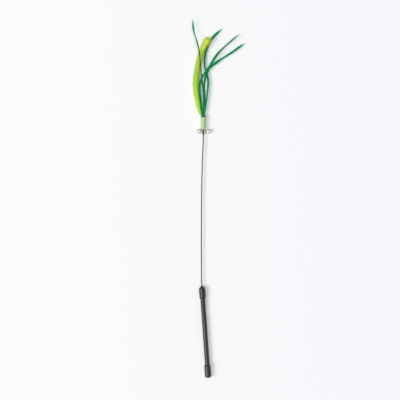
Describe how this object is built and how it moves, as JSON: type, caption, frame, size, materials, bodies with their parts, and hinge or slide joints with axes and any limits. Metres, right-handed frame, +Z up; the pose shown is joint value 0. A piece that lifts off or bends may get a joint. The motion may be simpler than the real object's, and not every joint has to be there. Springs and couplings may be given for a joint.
{
  "type": "cat teaser wand",
  "caption": "Slim cat toy wand: plastic tube handle with end caps, springy steel wire, ring with jingle bells, and a bunch of green grass blades with a fuzzy foxtail plume.",
  "frame": {"origin": "centre of the flat on the butt end of the handle, on the handle's axis", "axes": "+Y runs along the handle's axis from the butt end towards the teaser; +Z is up from the surface that the wand lies on; +X is the side that the wire bows and the blades spread to"},
  "size_m": [0.0928, 0.5371, 0.0137],
  "materials": {
    "barrel_plastic": "glossy black extruded tube",
    "cap_plastic": "glossy black injection moulded",
    "anchor_plastic": "plain moulded plug",
    "spring_steel": "drawn spring steel",
    "collar_metal": "blackened crimp collar",
    "sleeve_plastic": "translucent pale green soft plastic",
    "binding_thread": "wound thread",
    "blade_film": "satin embossed green sheet plastic",
    "plume_fibre": "lime nylon pile",
    "core_wire": "twisted soft wire",
    "ring_brass": "brass plated wire",
    "bell_nickel": "bright nickel plate",
    "pellet_steel": "plain steel shot"
  },
  "bodies": {
    "handle": {"handle_barrel": "barrel_plastic", "butt_cap": "cap_plastic", "nose_cap": "cap_plastic", "wire_anchor": "anchor_plastic"},
    "wire": {"wand_wire": "spring_steel"},
    "head": {"stop_collar": "collar_metal", "sleeve": "sleeve_plastic", "sleeve_plug": "sleeve_plastic", "root_binding": "binding_thread", "tall_blade": "blade_film", "upper_blade": "blade_film", "middle_blade": "blade_film", "right_blade": "blade_film", "plume_core": "core_wire", "plume_pile": "plume_fibre"},
    "ring": {"bell_ring": "ring_brass"},
    "left_bell": {"left_bell_dome": "bell_nickel", "left_bell_cup": "bell_nickel", "left_bell_loop": "bell_nickel"},
    "left_pellet": {"left_bell_pellet": "pellet_steel"},
    "right_bell": {"right_bell_dome": "bell_nickel", "right_bell_cup": "bell_nickel", "right_bell_loop": "bell_nickel"},
    "right_pellet": {"right_bell_pellet": "pellet_steel"}
  },
  "joints": [
    {"name": "wire_sway", "type": "hinge", "parent": "handle", "child": "wire", "pos_m": [0.00245, 0.18253, 0], "axis": [0, 0, 1], "range_deg": [-30, 30], "stiffness_Nm_per_rad": 0.2, "deforming": ["wand_wire"]},
    {"name": "wire_lift", "type": "hinge", "parent": "wire", "child": "head", "pos_m": [0.00709, 0.24736, 0], "axis": [0.9971, -0.0767, 0], "range_deg": [-30, 30], "stiffness_Nm_per_rad": 0.2, "deforming": ["wand_wire"]},
    {"name": "ring_turn", "type": "hinge", "parent": "head", "child": "ring", "pos_m": [0.01833, 0.36773, 0], "axis": [0.0663, 0.9978, 0], "continuous": true},
    {"name": "left_bell_swing", "type": "hinge", "parent": "ring", "child": "left_bell", "pos_m": [0.01644, 0.36785, 0], "axis": [0.0574, 0.8641, 0.5], "range_deg": [-4, 55]},
    {"name": "right_bell_swing", "type": "hinge", "parent": "ring", "child": "right_bell", "pos_m": [0.02163, 0.36751, 0], "axis": [-0.0574, -0.8641, -0.5], "range_deg": [-35, 55]},
    {"name": "left_pellet_roll", "type": "slide", "parent": "left_bell", "child": "left_pellet", "axis": [0, 0, 1], "range_m": [0, 0.0043]},
    {"name": "right_pellet_roll", "type": "slide", "parent": "right_bell", "child": "right_pellet", "axis": [0, 0, 1], "range_m": [0, 0.0043]}
  ]
}
